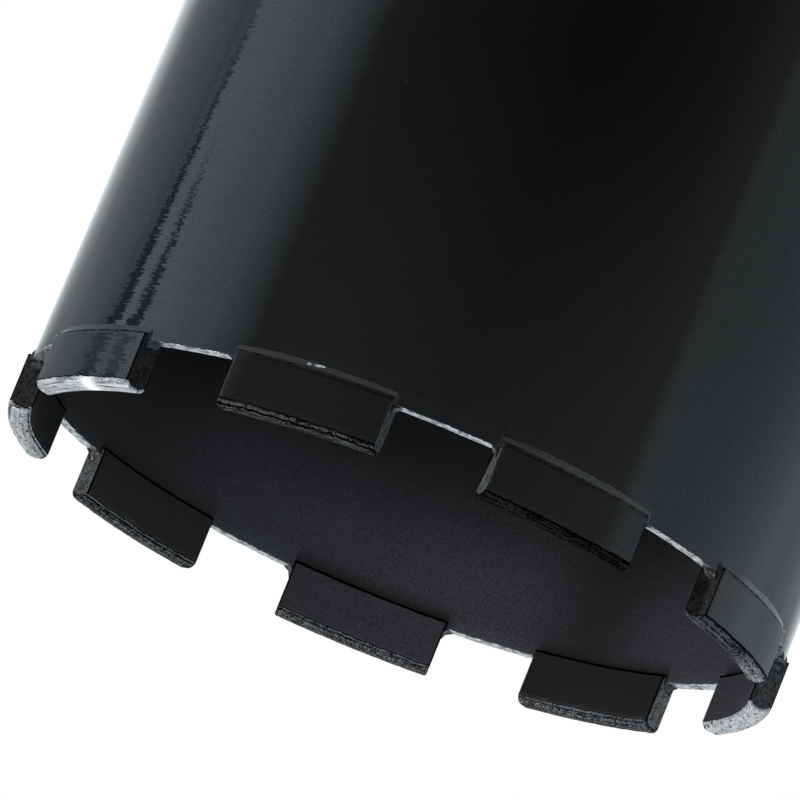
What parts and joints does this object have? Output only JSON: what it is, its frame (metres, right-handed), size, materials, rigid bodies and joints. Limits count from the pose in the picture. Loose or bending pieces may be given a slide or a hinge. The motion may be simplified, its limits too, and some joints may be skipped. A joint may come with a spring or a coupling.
{
  "type": "diamond core bit",
  "caption": "Black tubular core bit with curved diamond segments brazed to its rim, a welded back plate and a female threaded hub.",
  "frame": {"origin": "centre of the hub's end face, which the bit stands on", "axes": "+Z along the bit's axis, out of the barrel's mouth; +Y through the middle of segment_1"},
  "size_m": [0.117, 0.1164, 0.2054],
  "materials": {
    "barrel_paint": "semi-gloss black paint",
    "plate_paint": "semi-gloss black paint",
    "diamond_segment": "black paint on the sides, bare gritty crown",
    "braze_metal": "silver braze, mostly under paint",
    "hub_steel": "turned and milled steel, left bare",
    "weld_metal": "rippled weld bead under paint"
  },
  "bodies": {
    "root": {"core_barrel": "barrel_paint", "back_plate": "plate_paint", "threaded_hub": "hub_steel", "hub_weld": "weld_metal", "plate_weld": "weld_metal", "segment_1": "diamond_segment", "braze_1": "braze_metal", "segment_2": "diamond_segment", "braze_2": "braze_metal", "segment_3": "diamond_segment", "braze_3": "braze_metal", "segment_4": "diamond_segment", "braze_4": "braze_metal", "segment_5": "diamond_segment", "braze_5": "braze_metal", "segment_6": "diamond_segment", "braze_6": "braze_metal", "segment_7": "diamond_segment", "braze_7": "braze_metal", "segment_8": "diamond_segment", "braze_8": "braze_metal", "segment_9": "diamond_segment", "braze_9": "braze_metal"}
  },
  "joints": []
}
